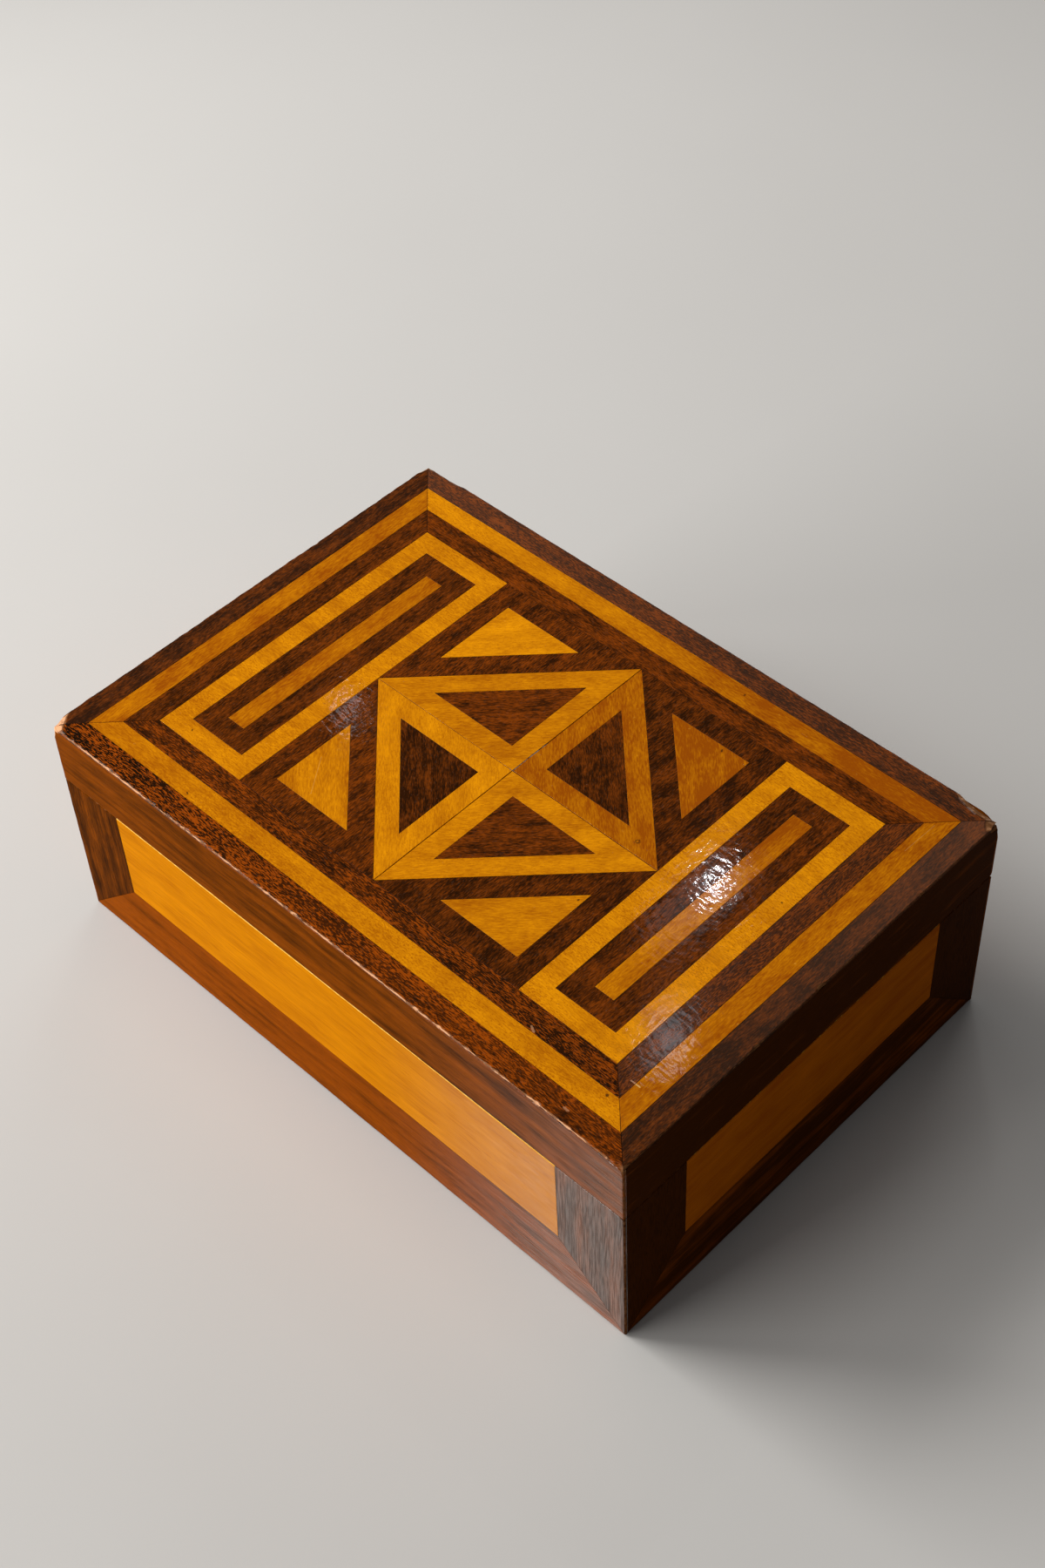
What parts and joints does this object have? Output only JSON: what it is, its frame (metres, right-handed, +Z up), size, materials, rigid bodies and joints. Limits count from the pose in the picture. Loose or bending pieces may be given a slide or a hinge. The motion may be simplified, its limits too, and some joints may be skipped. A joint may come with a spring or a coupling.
{
  "type": "marquetry box",
  "caption": "Flat rectangular keepsake box in two woods, its lid inlaid with borders, bars and a quartered diamond; the lid swings up on brass butt hinges at the back.",
  "frame": {"origin": "middle of the box's underside, on the surface it stands on", "axes": "+X along the length to the right seen from the front, +Y from the front to the hinged back, +Z up"},
  "size_m": [0.18, 0.1243, 0.0645],
  "materials": {
    "dark_veneer": "varnished",
    "light_veneer": "varnished",
    "carcass": "bare, planed",
    "hinge_brass": "aged satin",
    "hinge_pin_steel": "dull"
  },
  "bodies": {
    "box": {"front_wall": "carcass", "back_wall": "carcass", "left_wall": "carcass", "right_wall": "carcass", "bottom_board": "carcass", "front_panel": "light_veneer", "back_panel": "light_veneer", "left_panel": "light_veneer", "right_panel": "light_veneer", "front_left_stile": "dark_veneer", "front_right_stile": "dark_veneer", "back_left_stile": "dark_veneer", "back_right_stile": "dark_veneer", "left_front_stile": "dark_veneer", "left_back_stile": "dark_veneer", "right_front_stile": "dark_veneer", "right_back_stile": "dark_veneer", "front_bottom_rail": "dark_veneer", "back_bottom_rail": "dark_veneer", "left_bottom_rail": "dark_veneer", "right_bottom_rail": "dark_veneer", "left_hinge_box_leaf": "hinge_brass", "right_hinge_box_leaf": "hinge_brass", "left_hinge_pin": "hinge_pin_steel", "right_hinge_pin": "hinge_pin_steel", "box_hinge_screws": "hinge_brass"},
    "lid": {"lid_front_rail": "carcass", "lid_back_rail": "carcass", "lid_left_rail": "carcass", "lid_right_rail": "carcass", "lid_board": "carcass", "light_border_front": "light_veneer", "light_border_back": "light_veneer", "light_border_left": "light_veneer", "light_border_right": "light_veneer", "left_key_frame": "light_veneer", "left_key_bar": "light_veneer", "right_key_frame": "light_veneer", "right_key_bar": "light_veneer", "diamond_frames": "light_veneer", "corner_triangles": "light_veneer", "lid_front_edging": "dark_veneer", "lid_back_edging": "dark_veneer", "lid_left_edging": "dark_veneer", "lid_right_edging": "dark_veneer", "outer_border_front": "dark_veneer", "outer_border_back": "dark_veneer", "outer_border_left": "dark_veneer", "outer_border_right": "dark_veneer", "inner_border_front": "dark_veneer", "inner_border_back": "dark_veneer", "inner_border_left": "dark_veneer", "inner_border_right": "dark_veneer", "left_key_ground": "dark_veneer", "right_key_ground": "dark_veneer", "diamond_hearts": "dark_veneer", "corner_grounds": "dark_veneer", "left_hinge_lid_leaf": "hinge_brass", "right_hinge_lid_leaf": "hinge_brass", "lid_hinge_screws": "hinge_brass"}
  },
  "joints": [
    {"name": "lid", "type": "hinge", "parent": "box", "child": "lid", "pos_m": [0, 0.0606, 0.04605], "axis": [-1, 0, 0], "range_deg": [0, 102]}
  ]
}
